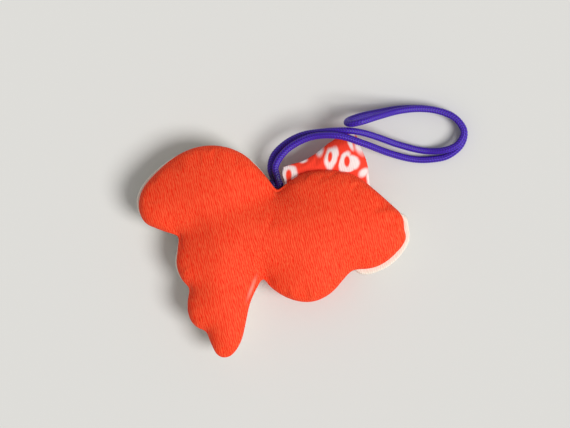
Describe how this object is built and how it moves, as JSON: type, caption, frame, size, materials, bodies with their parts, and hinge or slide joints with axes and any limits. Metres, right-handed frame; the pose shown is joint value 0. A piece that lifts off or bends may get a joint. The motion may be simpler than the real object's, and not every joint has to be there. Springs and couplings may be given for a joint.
{
  "type": "padded goldfish charm",
  "caption": "Padded crepe-cloth charm in the shape of a goldfish, with a folded dorsal fin and a doubled braided hanging cord.",
  "frame": {"origin": "centre of the fish's outline, on the plane that its front rests on", "axes": "+X towards the head, +Y towards the dorsal fin, +Z out of the back, which faces up as the charm lies"},
  "size_m": [0.0726, 0.0552, 0.0121],
  "materials": {
    "red_crepe": "crepe weave with fine ribs, soft sheen",
    "cream_crepe": "crepe weave with fine ribs, soft sheen",
    "kanoko_crepe": "crepe, tie-dyed with white rings on red",
    "cotton_wadding": "loose fibre, hidden inside",
    "backing_card": "grey paperboard, hidden inside",
    "white_felt": "matte felt",
    "black_bead": "glossy",
    "violet_braid": "round braid with a silky sheen"
  },
  "bodies": {
    "fish": {"back_cloth": "red_crepe", "back_wadding": "cotton_wadding", "back_card": "backing_card", "body_cloth": "red_crepe", "body_wadding": "cotton_wadding", "body_card": "backing_card", "head_cloth": "cream_crepe", "head_wadding": "cotton_wadding", "head_card": "backing_card", "tail_upper_cloth": "cream_crepe", "tail_upper_wadding": "cotton_wadding", "tail_upper_card": "backing_card", "tail_lower_cloth": "cream_crepe", "tail_lower_wadding": "cotton_wadding", "tail_lower_card": "backing_card", "dorsal_fin_cloth": "kanoko_crepe", "dorsal_fin_wadding": "cotton_wadding", "eye_patch": "white_felt", "eye_bead": "black_bead", "cord_end_first": "violet_braid", "cord_end_second": "violet_braid"},
    "loop": {"hanging_cord": "violet_braid"}
  },
  "joints": [
    {"name": "cord_swing", "type": "hinge", "parent": "fish", "child": "loop", "pos_m": [0.0005, 0.0142, 0.0071], "axis": [1, 0, 0], "range_deg": [0, 120]}
  ]
}
